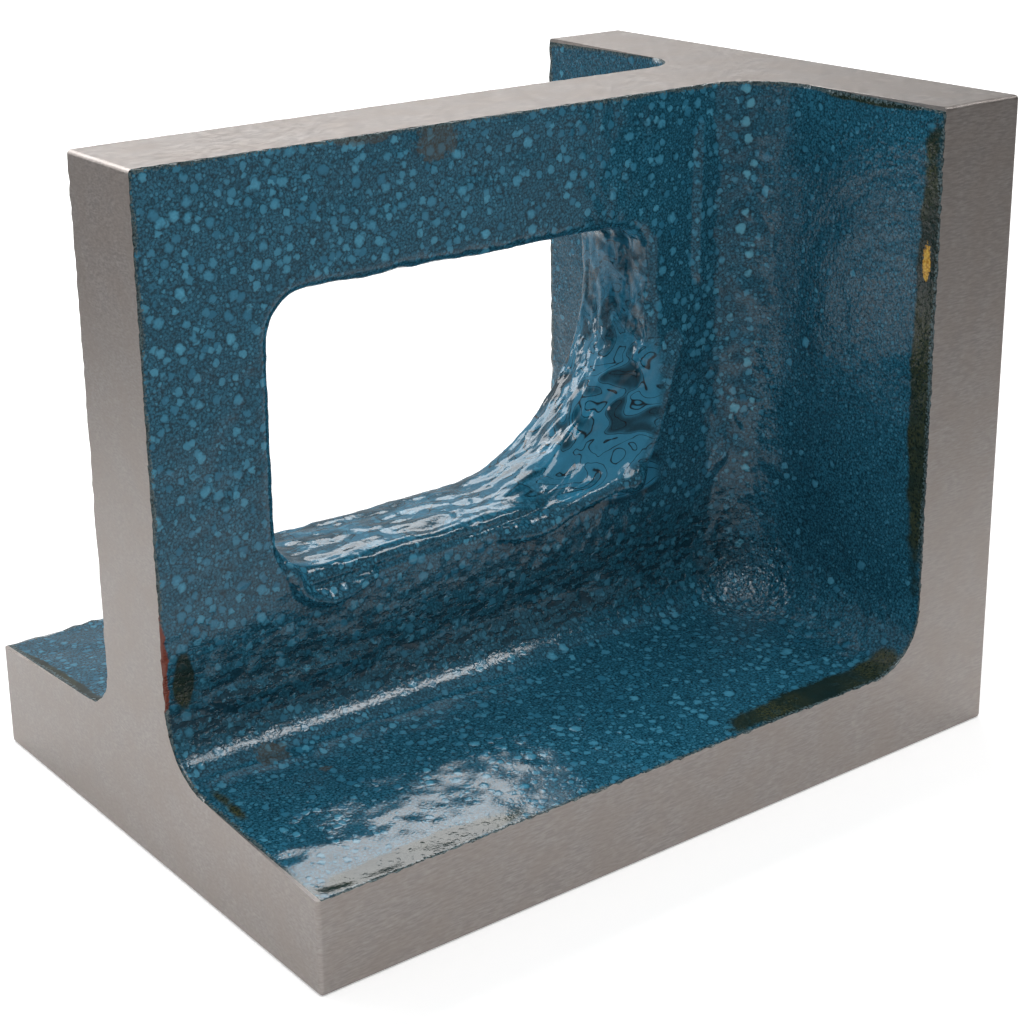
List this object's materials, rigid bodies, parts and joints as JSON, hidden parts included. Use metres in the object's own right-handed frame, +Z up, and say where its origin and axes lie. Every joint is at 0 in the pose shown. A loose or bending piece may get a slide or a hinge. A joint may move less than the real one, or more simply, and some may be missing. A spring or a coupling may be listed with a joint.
{
  "type": "angle plate",
  "caption": "Cast-iron angle plate: a base and an upright wall at right angles, joined down the middle by a web with a rounded window, ground square on every outer face.",
  "frame": {"origin": "middle of the footprint, on the ground underside that the plate stands on", "axes": "+X along the base from its free end to the wall, +Y across the plate to its back side, +Z up the wall"},
  "size_m": [0.1588, 0.1142, 0.127],
  "materials": {
    "casting": "ground bare iron on the outer faces, thick glossy blue-green hammer-finish paint on the rough cast faces between them"
  },
  "bodies": {
    "root": {"angle_plate": "casting"}
  },
  "joints": []
}
